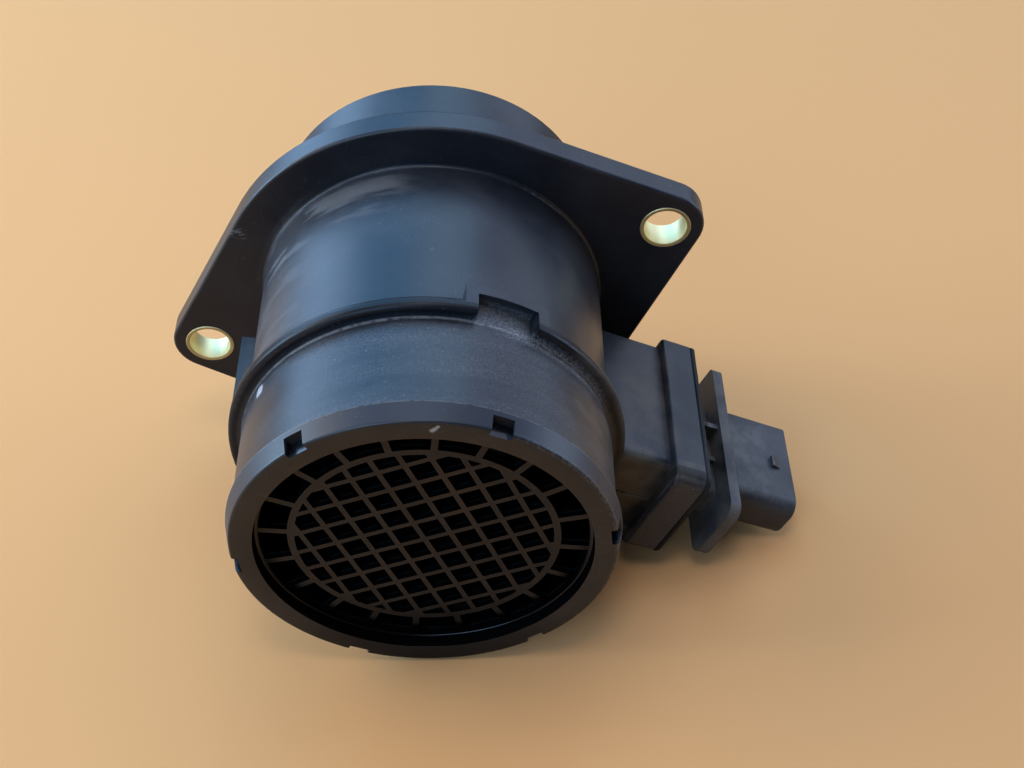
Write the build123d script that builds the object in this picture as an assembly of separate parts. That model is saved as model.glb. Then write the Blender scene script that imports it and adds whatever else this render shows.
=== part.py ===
"""Mass airflow sensor: a plastic measuring tube with a bolted flange, a snap-on end grille and a
plug-in hot-film module with its connector.

Row frame: +Y runs along the tube axis from the grille end to the flange spigot, +Z is up as the
sensor lies on its rim, flange and connector, and +X is to the connector's side. The origin is on
the tube axis, in the plane of the flange face that seats on the air box.

Everything is drawn in a work frame: z along the tube axis towards the grille end with z = 0 in the
seating plane, x along the connector, y across it. put() turns the work frame into the row frame.
"""
import os
from math import cos, sin, radians

from build123d import *

# ---------------------------------------------------------------- driving dimensions (mm, degrees)
roll = -25.3               # connector direction below level when the sensor lies on a table

# measuring tube
bore_r = 31.0              # air path, 62 mm
spigot_wall = 4.5          # hose spigot at the grille end
grille_end_z = 72.7        # front face of the rim
barrel_wall = 4.3
flange_spigot_wall = 3.0
flange_spigot_len = 23.8
flange_spigot_chamfer = 1.0
spigot_edge = 0.4          # rounding where the grille's cap meets the spigot
stop_ring_h = 2.9          # hose stop ring, its height over the barrel
stop_ring_z = 45.6         # from here it has its full height
stop_ring_w = 2.3
stop_ring_ramp = 2.8       # slope behind it, down to the barrel
stop_ring_rounds = (1.0, 1.2)            # its edges towards the grille and on the slope
stop_ring_root = 0.4       # fillet at its foot on the spigot

# keyed notch in the stop ring, square to the connector
key_deg = 89.3
key_half_deg = 8.9
key_floor_h = 0.3          # its floor over the barrel
key_back = 2.1             # how far it is cut back behind the ring's full height
key_pad_half_deg = 12.3
key_pad_back = 4.1         # how far its raised pad reaches back
rib_deg, rib_h, rib_w, rib_len = 196.0, 2.8, 2.2, 20.9

# flange
flange_t = 5.6
flange_rim = 9.1           # how far it stands out past the barrel
ear_dist_upper, ear_deg_upper = 51.7, 45.6      # hole distance from the axis, angle
ear_dist_lower, ear_deg_lower = 50.8, 219.2
ear_r = 7.9
barrel_root = 0.7          # fillet between barrel and flange
limiter_id = 8.6
limiter_wall = 0.9
limiter_proud = 0.15

# face seal in the seating face of the flange
seal_ring_gap = 3.4        # from the flange spigot to the seal's groove
seal_ring_w = 2.6
seal_ring_t = 2.2

# end grille
lip_t = 1.6                # front lip of the cap
skirt_len = 4.2            # outer skirt of the cap over the tube end
skirt_t = 1.85             # its wall at the front edge
barb_h = 0.8               # how far its rear edge stands over the spigot, to hold a hose
cap_round = 0.6
sleeve_t = 1.2             # inner sleeve of the cap inside the tube end
sleeve_len = 9.0
grille_recess = 2.85       # top of ring and bars below the rim face
grille_depth = 2.4
land_w, land_round = 0.7, 0.5            # narrow land that the spokes end on
ring_ri, ring_w = 23.75, 1.3
lattice_pitch = 5.09
lattice_bar = 1.03
lattice_deg = 45.3
spokes = 20
spoke_w = 1.25
snap_count = 6
snap_first_deg = 30.0
snap_w, snap_len, snap_depth = 4.0, 3.0, 1.35

# module socket on the tube: the well the module plugs into, and the block and rim round it
mod_z = 30.0               # middle of the plug-in module along the tube
well_half_z, well_half_t, well_r = 14.0, 7.5, 4.0
wall_front, wall_rear = 1.3, 4.1         # block past the well, towards the grille and the flange
wall_low, wall_high = 3.1, 3.7           # block past the well, below and above
block_rounds = (2.0, 0.5)                # its edges towards the grille and towards the flange
rim_x, rim_len = 47.8, 6.8               # thick rim at the socket's mouth
rim_half_z = 19.6
lip_low, lip_high = 1.0, 1.9             # rim past the block, below and above
rim_rounds = (3.0, 1.2)    # corners towards the grille and towards the flange
joint_edge = 0.25          # chamfers of rim and plate where they meet

# plug-in module
plate_t = 1.2
fit_gap = 0.2
neck_len, neck_half_z, neck_half_t = 6.9, 12.0, 3.6
neck_ribs = {-3.4: 7.5, 3.4: 4.8}        # place along the tube, half height
neck_rib_w = 1.2
collar_w = 2.6
collar_half_z, collar_low, collar_high = 20.0, 7.8, 8.5
collar_rounds = (3.0, 1.0)
shroud_len = 16.4
shroud_half_z, shroud_low, shroud_high = 11.65, 4.75, 5.35
shroud_rounds = (3.4, 1.2)
shroud_wall = 1.45
cavity_depth = 13.7
nub_back, nub_len, nub_h, nub_w = 5.2, 2.8, 0.8, 2.8    # latch nub on the shroud
probe_tip_x = -12.0
probe_half_z, probe_half_t = 11.0, 5.5
tip_round = 4.0
seal_back, seal_w, seal_h = 2.8, 2.2, 1.9               # plug seal, from the rim's inner face
terminal_pitch = 3.5
terminal_w, terminal_t = 1.5, 0.8
terminal_on_board, terminal_recess = 5.5, 6.2

# electronics bay and bypass channel of the probe
bay_start, bay_end_gap, bay_wall = 9.0, 2.0, 2.0
bay_floor = -1.5
cover_t, cover_seat, cover_gap = 1.2, 0.8, 0.15
carrier_t, carrier_gap = 0.7, 0.5
tongue_half, tongue_back = 2.2, 0.8
board_t, board_back, board_front, board_side = 0.7, 2.0, 1.2, 1.0
chip_l, chip_w, chip_t = 2.8, 3.0, 0.4
asic_l, asic_w, asic_h = 5.0, 6.0, 1.6
cap_l, cap_w, cap_h = 1.6, 3.0, 0.9
parts_back = 5.0           # first part on the board, from the bay's inner end
channel_floor, channel_w, channel_reach = -3.4, 5.0, 7.0
tip_wall = 2.8             # probe tip to the bypass channel
bay_channel_wall = 3.2     # bypass channel to the electronics bay
outlet_len = 3.5
bead_r, bead_l, bead_out, leg_r = 1.3, 2.2, 3.6, 0.3

# ---------------------------------------------------------------- worked out from the above
spigot_r = bore_r + spigot_wall
barrel_r = bore_r + barrel_wall
flange_spigot_r = bore_r + flange_spigot_wall
stop_ring_r = barrel_r + stop_ring_h
stop_ring_foot = stop_ring_z - stop_ring_ramp
stop_ring_end = stop_ring_z + stop_ring_w
flange_r = barrel_r + flange_rim
ears = {"upper": (ear_dist_upper, ear_deg_upper), "lower": (ear_dist_lower, ear_deg_lower)}
limiter_od = limiter_id + 2 * limiter_wall
seal_ring_ri = flange_spigot_r + seal_ring_gap
seal_ring_ro = seal_ring_ri + seal_ring_w
skirt_ri = spigot_r - skirt_t
barb_r = spigot_r + barb_h
sleeve_ro = bore_r + sleeve_t
ring_ro = ring_ri + ring_w
well_t = (-well_half_t, well_half_t)
block_z = (mod_z - well_half_z - wall_rear, mod_z + well_half_z + wall_front)
block_t = (-well_half_t - wall_low, well_half_t + wall_high)
rim_t = (block_t[0] - lip_low, block_t[1] + lip_high)
rim_end = rim_x + rim_len
plate_end = rim_end + plate_t
collar_x = plate_end + neck_len
collar_end = collar_x + collar_w
collar_t = (-collar_low, collar_high)
shroud_end = collar_end + shroud_len
shroud_t = (-shroud_low, shroud_high)
cavity_x = shroud_end - cavity_depth
seal_x = rim_x + seal_back
bay_x = (bay_start, bore_r - bay_end_gap)
bay_half_z = probe_half_z - bay_wall
board_y = bay_floor + carrier_t + board_t       # top of the board
channel_in = probe_tip_x + tip_wall
channel_out = bay_start - bay_channel_wall - channel_w
terminal_x = (bay_x[1] - terminal_on_board, shroud_end - terminal_recess)


def put(shape):
    """Work frame -> row frame."""
    return Rot(90, 0, 0) * (Rot(0, 0, roll) * shape)


def box(x0, x1, y0, y1, z0, z1):
    return Pos((x0 + x1) / 2, (y0 + y1) / 2, (z0 + z1) / 2) * Box(x1 - x0, y1 - y0, z1 - z0)


def tube(ro, ri, z0, z1):
    body = Pos(0, 0, (z0 + z1) / 2) * Cylinder(ro, z1 - z0)
    return body - Pos(0, 0, (z0 + z1) / 2) * Cylinder(ri, z1 - z0 + 2) if ri else body


def turned(points):
    """Solid of revolution round the tube axis, from points (radius, z)."""
    return revolve(Plane.XZ * make_face(Polyline(*points, close=True)), Axis.Z)


def sector(r_out, r_in, mid_deg, half_deg, z0, z1):
    """Part of a tube wall between two angles."""
    far = 2 * r_out
    a, b = radians(mid_deg - half_deg), radians(mid_deg + half_deg)
    wedge = Polyline((0, 0), (far * cos(a), far * sin(a)), (far * cos(b), far * sin(b)), close=True)
    prism = extrude(Pos(0, 0, z0) * make_face(wedge), z1 - z0)
    return tube(r_out, r_in, z0, z1) & prism


def slab(x0, x1, half_z, faces, rounds, less=0.0):
    """Rounded rectangle across the connector direction, from x0 to x1, smaller by less all round.
    rounds holds its corner radii towards the grille and towards the flange."""
    front, rear = [max(r - less, 0.3) for r in rounds]
    t0, t1 = faces[0] + less, faces[1] - less
    face = Pos((t0 + t1) / 2, 0) * Rectangle(t1 - t0, 2 * (half_z - less))
    face = fillet(face.vertices().group_by(Axis.Y)[-1], front)
    face = fillet(face.vertices().group_by(Axis.Y)[0], rear)
    return extrude(Plane(origin=(x0, 0, mod_z), x_dir=(0, 1, 0), z_dir=(1, 0, 0)) * face, x1 - x0)


# ---------------------------------------------------------------- housing
def make_housing():
    barrel = tube(barrel_r, 0, 0, stop_ring_z + 0.5)
    spigot = tube(spigot_r, 0, stop_ring_z, grille_end_z - skirt_len)
    spigot = fillet(spigot.edges().filter_by(GeomType.CIRCLE).sort_by(Axis.Z)[-1], spigot_edge)
    tongue = tube(skirt_ri, 0, stop_ring_z, grille_end_z - lip_t)
    inner = barrel_r - 1
    ring = turned([(inner, stop_ring_foot), (barrel_r, stop_ring_foot), (stop_ring_r, stop_ring_z),
                   (stop_ring_r, stop_ring_end), (inner, stop_ring_end)])
    top = ring.edges().filter_by(GeomType.CIRCLE).filter_by(
        lambda e: abs(e.radius - stop_ring_r) < 0.01).sort_by(Axis.Z)
    ring = fillet(top[-1], stop_ring_rounds[0])
    top = ring.edges().filter_by(GeomType.CIRCLE).filter_by(
        lambda e: abs(e.radius - stop_ring_r) < 0.01).sort_by(Axis.Z)
    ring = fillet(top[0], stop_ring_rounds[1])
    spigot = spigot + ring
    spigot = fillet(spigot.edges().filter_by(GeomType.CIRCLE).filter_by(
        lambda e: abs(e.radius - spigot_r) < 0.01 and abs(e.center().Z - stop_ring_end) < 0.01),
        stop_ring_root)
    pad = sector(stop_ring_r, inner, key_deg, key_pad_half_deg, stop_ring_z - key_pad_back,
                 stop_ring_end - stop_ring_rounds[0])
    key = sector(stop_ring_r + 3, barrel_r + key_floor_h, key_deg, key_half_deg,
                 stop_ring_z - key_back, stop_ring_end + 2)
    rib = Rot(0, 0, rib_deg) * box(barrel_r - 2, barrel_r + rib_h, -rib_w / 2, rib_w / 2,
                                   stop_ring_foot + 1.5 - rib_len, stop_ring_z + 0.5)

    rims = [Circle(flange_r).edge()]
    for dist, deg in ears.values():
        spot = Pos(dist * cos(radians(deg)), dist * sin(radians(deg)))
        rims.append((spot * Circle(ear_r)).edge())
    flange = extrude(make_hull(rims), flange_t)
    flange = fillet(flange.faces().sort_by(Axis.Z)[-1].edges(), 0.7)
    flange = fillet(flange.faces().sort_by(Axis.Z)[0].edges(), 0.5)

    out_spigot = tube(flange_spigot_r, 0, -flange_spigot_len, 1)
    out_spigot = chamfer(out_spigot.edges().filter_by(GeomType.CIRCLE).sort_by(Axis.Z)[0],
                         flange_spigot_chamfer)

    block = box(bore_r - 2, rim_x + 1, *block_t, *block_z)
    block = fillet(block.edges().filter_by(Axis.X).group_by(Axis.Z)[-1], block_rounds[0])
    block = fillet(block.edges().filter_by(Axis.X).group_by(Axis.Z)[0], block_rounds[1])
    rim = slab(rim_x, rim_end, rim_half_z, rim_t, rim_rounds)
    rim = fillet(rim.faces().sort_by(Axis.X)[0].edges(), 0.7)
    rim = chamfer(rim.faces().sort_by(Axis.X)[-1].edges(), joint_edge)
    seam = box(barrel_r, rim_x + 0.5, -0.25, 0.25, block_z[1] - 1, block_z[1] + 0.4)

    body = barrel + flange
    body = fillet(body.edges().filter_by(GeomType.CIRCLE).filter_by(
        lambda e: abs(e.radius - barrel_r) < 0.01 and abs(e.center().Z - flange_t) < 0.01), barrel_root)
    body = body + [spigot, tongue, pad, rib, out_spigot, block, rim, seam]
    body -= key
    body -= tube(bore_r, 0, -flange_spigot_len - 1, grille_end_z + 1)
    body -= tube(sleeve_ro, 0, grille_end_z - sleeve_len, grille_end_z + 1)
    body -= slab(bore_r - 6, rim_end + 1, well_half_z, well_t, (well_r, well_r))
    body -= tube(seal_ring_ro, seal_ring_ri, -1, seal_ring_t)
    for dist, deg in ears.values():
        spot = Pos(dist * cos(radians(deg)), dist * sin(radians(deg)), flange_t / 2)
        body -= spot * Cylinder(limiter_od / 2, flange_t + 2)
    return body


# ---------------------------------------------------------------- end grille
def make_grille():
    end, top = grille_end_z, grille_end_z - grille_recess
    land_r = bore_r - land_w
    cap = turned([(skirt_ri, end - skirt_len), (barb_r, end - skirt_len), (spigot_r, end),
                  (bore_r, end), (bore_r, top), (land_r, top), (land_r, top - grille_depth),
                  (bore_r, top - grille_depth), (bore_r, end - sleeve_len),
                  (sleeve_ro, end - sleeve_len), (sleeve_ro, end - lip_t), (skirt_ri, end - lip_t)])
    cap = fillet(cap.edges().filter_by(GeomType.CIRCLE).group_by(Axis.Z)[-1].sort_by(
        lambda e: e.radius)[-1], cap_round)
    cap = fillet(cap.edges().filter_by(GeomType.CIRCLE).filter_by(
        lambda e: abs(e.radius - bore_r) < 0.01 and abs(e.center().Z - top) < 0.01), land_round)

    cell = lattice_pitch - lattice_bar
    n = 2 * int(ring_ri / lattice_pitch + 1)
    bore = Circle(ring_ri)
    web = Circle(ring_ro)
    for spot in GridLocations(lattice_pitch, lattice_pitch, n, n):
        hole = (Rot(0, 0, lattice_deg) * (spot * Rectangle(cell, cell))) & bore
        if hole and hole.area > 1.6:
            web -= hole
    for k in range(spokes):
        web += Rot(0, 0, 360 / spokes * k) * (Pos((ring_ro + land_r) / 2, 0) * Rectangle(
            land_r - ring_ro + 0.8, spoke_w))
    cap += extrude(Pos(0, 0, top - grille_depth) * web, grille_depth)

    for k in range(snap_count):
        slot = box(spigot_r - snap_depth, barb_r + 2, -snap_w / 2, snap_w / 2,
                   grille_end_z - snap_len, grille_end_z + 1)
        cap -= Rot(0, 0, snap_first_deg + 360 / snap_count * k) * slot
    return cap


# ---------------------------------------------------------------- small pieces on the tube
def make_limiter(name):
    dist, deg = ears[name]
    sleeve = tube(limiter_od / 2, limiter_id / 2, 0, flange_t + limiter_proud)
    top = sleeve.edges().filter_by(GeomType.CIRCLE).group_by(Axis.Z)[-1]
    sleeve = chamfer(top.sort_by(lambda e: e.radius)[0], 0.35)
    return Pos(dist * cos(radians(deg)), dist * sin(radians(deg)), 0) * sleeve


def make_flange_seal():
    """Face seal at its fitted height, level with the seating face."""
    ring = tube(seal_ring_ro, seal_ring_ri, 0, seal_ring_t)
    return fillet(ring.edges().filter_by(GeomType.CIRCLE).group_by(Axis.Z)[-1], 0.5)


# ---------------------------------------------------------------- plug-in module
def channel():
    """Bypass air channel in the probe tip: in at the leading face, round a bend, out at the side."""
    lead = mod_z + probe_half_z
    lid = probe_half_t + 1
    low, high = mod_z - channel_reach, mod_z + channel_reach
    out_end = channel_out + channel_w
    run_in = box(channel_in, channel_in + channel_w, channel_floor, lid, low, lead + 1)
    bend = box(channel_in, out_end, channel_floor, lid, low, low + channel_w)
    run_out = box(channel_out, out_end, channel_floor, lid, low, high)
    outlet = box(channel_out, out_end, -probe_half_t - 1, lid, high - outlet_len, high)
    return run_in + bend + run_out + outlet


def make_module():
    probe = box(probe_tip_x, bore_r + 1.5, -probe_half_t, probe_half_t,
                mod_z - probe_half_z, mod_z + probe_half_z)
    tip = probe.edges().filter_by(Axis.Y).group_by(Axis.X)[0]
    probe = fillet(tip, tip_round)
    probe = fillet(probe.edges().filter_by(Axis.X), 1.0)
    plug = slab(bore_r + 0.3, rim_end + 0.3, well_half_z, well_t, (well_r, well_r), fit_gap)
    plate = slab(rim_end, plate_end, rim_half_z, rim_t, rim_rounds)
    plate = fillet(plate.faces().sort_by(Axis.X)[-1].edges(), 0.5)
    plate = chamfer(plate.faces().sort_by(Axis.X)[0].edges(), joint_edge)
    neck = slab(plate_end - 0.3, collar_x + 0.3, neck_half_z, (-neck_half_t, neck_half_t),
                (1.5, 1.5))
    collar = slab(collar_x, collar_end, collar_half_z, collar_t, collar_rounds)
    collar = fillet(collar.faces().sort_by(Axis.X)[-1].edges(), 0.5)
    shroud = slab(collar_end - 0.3, shroud_end, shroud_half_z, shroud_t, shroud_rounds)
    shroud = fillet(shroud.faces().sort_by(Axis.X)[-1].edges(), 0.4)

    body = probe + plug + plate + neck + collar + shroud
    for dz, half in neck_ribs.items():
        body += box(plate_end - 0.3, collar_x + 0.3, -half, half,
                    mod_z + dz - neck_rib_w / 2, mod_z + dz + neck_rib_w / 2)
    nub_x, nub_y = shroud_end - nub_back, shroud_t[1]
    nub = Polyline((nub_x, nub_y - 0.3), (nub_x, nub_y + nub_h),
                   (nub_x + nub_len / 4, nub_y + nub_h), (nub_x + nub_len, nub_y - 0.3), close=True)
    body += extrude(Pos(0, 0, mod_z - nub_w / 2) * make_face(nub), nub_w)

    body -= slab(cavity_x, shroud_end + 1, shroud_half_z, shroud_t, shroud_rounds, shroud_wall)
    body -= box(bay_x[0], bay_x[1], bay_floor, probe_half_t + 1,
                mod_z - bay_half_z, mod_z + bay_half_z)
    body -= channel()
    # recess the two covers sit in
    body -= box(channel_in - cover_seat * 2, bay_x[1] + cover_seat, probe_half_t - cover_t,
                probe_half_t + 1, mod_z - bay_half_z - cover_seat, mod_z + bay_half_z + cover_seat)
    # slit for the carrier's tongue, terminal slots, groove of the plug seal
    body -= box(channel_out + channel_w - 1, bay_x[0] + 1, bay_floor, bay_floor + carrier_t,
                mod_z - tongue_half, mod_z + tongue_half)
    for k in range(5):
        body -= terminal_bar(k)
    return body - seal_band(-1.0)


def seal_band(less):
    """Band round the plug, from the groove's floor out to the well's wall less the given amount."""
    rounds = (well_r, well_r)
    band = slab(seal_x - seal_w / 2, seal_x + seal_w / 2, well_half_z, well_t, rounds, less)
    return band - slab(seal_x - seal_w, seal_x + seal_w, well_half_z, well_t, rounds, seal_h)


def terminal_bar(k):
    z = mod_z + (k - 2) * terminal_pitch
    return box(*terminal_x, board_y, board_y + terminal_t, z - terminal_w / 2, z + terminal_w / 2)


def make_terminal(k):
    bar = terminal_bar(k)
    tip = bar.faces().sort_by(Axis.X)[-1].edges()
    return chamfer(tip, 0.25)


def make_carrier():
    """Metal carrier of the electronics; its tongue holds the sensor chip in the channel."""
    y0, y1 = bay_floor, bay_floor + carrier_t
    half = bay_half_z - carrier_gap
    plate = box(bay_x[0] + carrier_gap, bay_x[1] - carrier_gap, y0, y1, mod_z - half, mod_z + half)
    tongue = box(channel_out + tongue_back, bay_x[0] + 1, y0, y1,
                 mod_z - tongue_half, mod_z + tongue_half)
    return plate + tongue


def make_board():
    half = bay_half_z - board_side
    return box(bay_x[0] + board_back, bay_x[1] - board_front, board_y - board_t, board_y,
               mod_z - half, mod_z + half)


def make_chip():
    x, y = channel_out + tongue_back + 0.6, bay_floor + carrier_t
    return box(x, x + chip_l, y, y + chip_t, mod_z - chip_w / 2, mod_z + chip_w / 2)


def on_board(back, length, width, height, z0):
    x = bay_x[0] + parts_back + back
    return box(x, x + length, board_y, board_y + height, mod_z + z0, mod_z + z0 + width)


def make_covers():
    y0, y1 = probe_half_t - cover_t, probe_half_t
    split = bay_x[0] - bay_channel_wall / 2
    half = bay_half_z + cover_seat - cover_gap
    start, end = channel_in - cover_seat * 2 + cover_gap, bay_x[1] + cover_seat - cover_gap
    lids = []
    for x0, x1 in ((start, split - cover_gap / 2), (split + cover_gap / 2, end)):
        lid = box(x0, x1, y0, y1, mod_z - half, mod_z + half)
        lids.append(fillet(lid.edges().filter_by(Axis.Y), 1.0))
    return lids


def make_thermistor():
    """Intake air temperature bead on two legs, ahead of the probe's leading edge."""
    lead = mod_z + probe_half_z
    x, z = bay_x[0] + parts_back, lead + bead_out
    bead = Pos(x, 0, z) * Rot(0, 90, 0) * Cylinder(bead_r, bead_l)
    for side in (-bead_l / 2, bead_l / 2):
        bead += Pos(x + side, 0, z) * Sphere(bead_r)
        bead += Pos(x + side * 1.2, 0, lead + bead_out / 2) * Cylinder(leg_r, bead_out)
    return bead


bypass_cover, electronics_cover = make_covers()
nodes = {
    "housing": make_housing(),
    "end_grille": make_grille(),
    "limiter_upper": make_limiter("upper"),
    "limiter_lower": make_limiter("lower"),
    "flange_seal": make_flange_seal(),
    "module_body": make_module(),
    "module_seal": seal_band(0.0),
    "bypass_cover": bypass_cover,
    "electronics_cover": electronics_cover,
    "carrier_plate": make_carrier(),
    "circuit_board": make_board(),
    "sensor_chip": make_chip(),
    "asic": on_board(0, asic_l, asic_w, asic_h, 1 - asic_w),
    "capacitor_1": on_board(0, cap_l, cap_w, cap_h, cap_w),
    "capacitor_2": on_board(asic_l - cap_l, cap_l, cap_w, cap_h, cap_w),
    "thermistor": make_thermistor(),
}
for k in range(5):
    nodes[f"terminal_{k + 1}"] = make_terminal(k)

os.makedirs("parts", exist_ok=True)
for name, shape in nodes.items():
    shape = put(shape)
    solids = shape.solids()
    out = solids[0] if len(solids) == 1 else shape
    out.label = name
    export_step(out, f"parts/{name}.step")
    print(f"{name:18s} solids {len(solids)} volume {out.volume:10.1f}")
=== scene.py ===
# %% [markdown]
# # A mass airflow sensor
# It sits between an engine's air filter and its intake and measures the air that flows through the
# round tube. The construction is ready: every piece has its real size and place, in metres, with the
# tube's axis along Y. Here each piece gets its surface: satin black plastic with a film of dust, a
# moulded grille, brass sleeves, and the small wear of a used part.
#
# A lesson cell like this one comes before each step. It says what the piece is on the real object,
# how it could be made, and why this way was chosen.

# %% The packed frame
from math import cos, pi, radians, sin

import bmesh
import bpy
from mathutils import Matrix, Vector


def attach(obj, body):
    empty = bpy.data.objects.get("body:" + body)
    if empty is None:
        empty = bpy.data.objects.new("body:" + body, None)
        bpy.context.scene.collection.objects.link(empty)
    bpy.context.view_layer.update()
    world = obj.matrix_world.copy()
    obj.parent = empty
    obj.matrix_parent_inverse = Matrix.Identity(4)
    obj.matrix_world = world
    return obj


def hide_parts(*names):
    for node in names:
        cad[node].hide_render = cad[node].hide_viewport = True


MM = 0.001
ROLL = radians(-25.3)            # the connector's direction below level, round the tube's axis
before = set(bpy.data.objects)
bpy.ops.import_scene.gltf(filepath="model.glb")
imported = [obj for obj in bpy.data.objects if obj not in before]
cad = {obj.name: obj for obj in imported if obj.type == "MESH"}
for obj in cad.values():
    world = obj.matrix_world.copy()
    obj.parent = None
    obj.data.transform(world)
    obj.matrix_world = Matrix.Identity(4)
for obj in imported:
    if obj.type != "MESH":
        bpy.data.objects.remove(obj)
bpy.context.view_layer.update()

# %% [markdown]
# ## The camera
# The sensor lies on the barb of its cap and on its flange, and is seen from above the grille end.
# A camera can be aimed with a Track To constraint, but that always levels it. A plain matrix of its
# own three directions is exact and keeps a small roll.

# %% Camera
VIEW_FROM = Vector((18.04, -237.42, 219.17)) * MM
VIEW_RIGHT = Vector((0.999702, -0.013997, -0.020016))
VIEW_UP = Vector((0.023907, 0.728518, 0.684609))
LENS, SENSOR = 52.734, 36.0      # millimetres
NEAREST = 0.01                   # metres, the closest thing the camera draws

camera = bpy.data.objects.new("camera", bpy.data.cameras.new("camera"))
bpy.context.scene.collection.objects.link(camera)
camera.data.sensor_width, camera.data.lens = SENSOR, LENS
camera.data.clip_start = NEAREST
back = VIEW_RIGHT.cross(VIEW_UP).normalized()
camera.matrix_world = Matrix((
    (VIEW_RIGHT.x, VIEW_UP.x, back.x, VIEW_FROM.x), (VIEW_RIGHT.y, VIEW_UP.y, back.y, VIEW_FROM.y),
    (VIEW_RIGHT.z, VIEW_UP.z, back.z, VIEW_FROM.z), (0, 0, 0, 1)))
bpy.context.scene.camera = camera
print("camera at", [round(v, 3) for v in VIEW_FROM])

# %% [markdown]
# ## Shader maths as plain expressions
# A material is a graph of nodes. Written node by node it soon hides what it computes, so one small
# class wraps a socket and turns `a * 2 + b` into Math nodes. Two masks are all that the wear needs:
# one that rises between two values, and one that holds between two values and falls softly outside.

# %% Numbers of a material: the Field class
class Field:
    """A socket that carries a number, with the usual operators."""

    def __init__(self, paint, socket):
        self.paint, self.socket = paint, socket

    def _math(self, operation, *values, clamp=False):
        return self.paint.node("ShaderNodeMath", {"operation": operation, "use_clamp": clamp},
                               dict(enumerate(values)))

    def __add__(self, other):
        return self._math("ADD", self, other)

    def __radd__(self, other):
        return self._math("ADD", other, self)

    def __sub__(self, other):
        return self._math("SUBTRACT", self, other)

    def __rsub__(self, other):
        return self._math("SUBTRACT", other, self)

    def __mul__(self, other):
        return self._math("MULTIPLY", self, other)

    def __rmul__(self, other):
        return self._math("MULTIPLY", other, self)

    def angle(self, other):
        return self._math("ARCTAN2", self, other)

    def sqrt(self):
        return self._math("SQRT", self)

    def clamped(self):
        return self._math("ADD", self, 0.0, clamp=True)

    def rise(self, low, high):
        """0 below low, 1 above high, smooth between. With low above high it falls instead."""
        return self.paint.node("ShaderNodeMapRange", {"interpolation_type": "SMOOTHSTEP"},
                               {"Value": self, "From Min": low, "From Max": high})

    def between(self, low, high, soft):
        """1 from low to high, falling to 0 over the soft distance outside."""
        return self.rise(low - soft, low) * self.rise(high + soft, high)


print("Field has", len([name for name in vars(Field) if callable(getattr(Field, name))]), "methods")

# %% [markdown]
# ## A material under construction
# Every node that isn't plain maths comes from a single method, which takes the node's type, its
# settings, and the values or links of its sockets. Patterns need to know where they are on the part,
# so the class also gives the point's place in three ways: as plain x, y and z, round the tube, and
# along the connector. All of them follow the piece itself, so a pattern stays put when it moves.

# %% The Paint class
TUBE_R = 0.0355                  # radius that unrolls the tube's surface, metres
# a black without shine, which painted shade fades a surface to
SHADE_BLACK = {"Base Color": (0.001, 0.001, 0.001), "Roughness": 0.9, "IOR": 1.0}


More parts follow.
